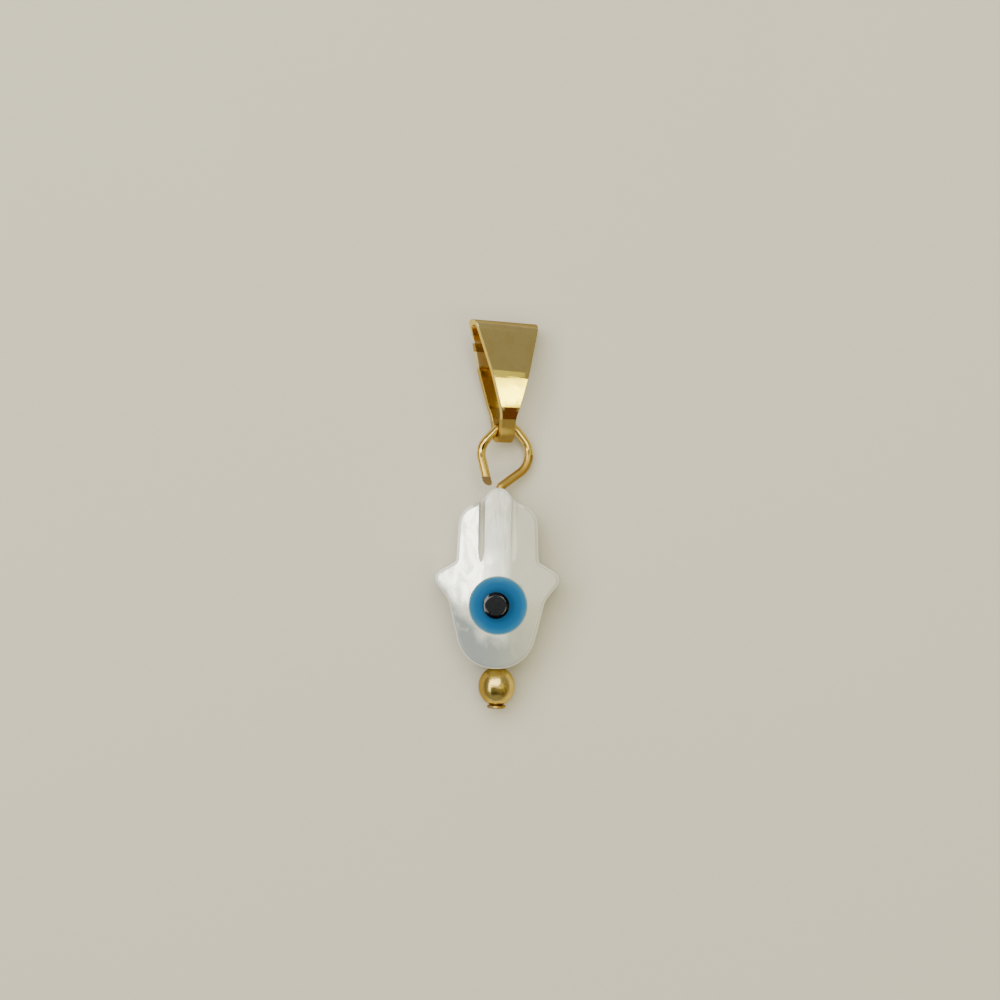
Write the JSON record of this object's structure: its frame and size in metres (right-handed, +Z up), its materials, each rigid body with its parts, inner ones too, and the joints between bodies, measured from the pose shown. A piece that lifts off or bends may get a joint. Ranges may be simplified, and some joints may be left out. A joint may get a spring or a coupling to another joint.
{
  "type": "hand pendant",
  "caption": "Flat hand-shaped shell pendant with an inlaid blue eye, a bead below it on a wire pin, and a folded tapering bail on the pin's loop.",
  "frame": {"origin": "centre of the pendant's bounding box on the surface that it lies on", "axes": "+Z up, out of the hand's front face; +Y along the pendant from the bead to the bail; +X to the right seen from the front"},
  "size_m": [0.009, 0.0281, 0.0039],
  "materials": {
    "bail_gold": "polished gold plate with fine rolling lines and hairline scratches",
    "pin_gold": "bright drawn wire, gold plated, dull across its cut end",
    "bead_gold": "mirror-polished gold plate",
    "pearl_shell": "polished mother-of-pearl with soft nacre bands",
    "blue_inlay": "gloss blue inlay, paler towards its rim",
    "black_inlay": "gloss black"
  },
  "bodies": {
    "root": {"bail": "bail_gold", "head_pin": "pin_gold", "bead": "bead_gold", "hand": "pearl_shell", "eye_iris": "blue_inlay", "eye_pupil": "black_inlay"}
  },
  "joints": []
}
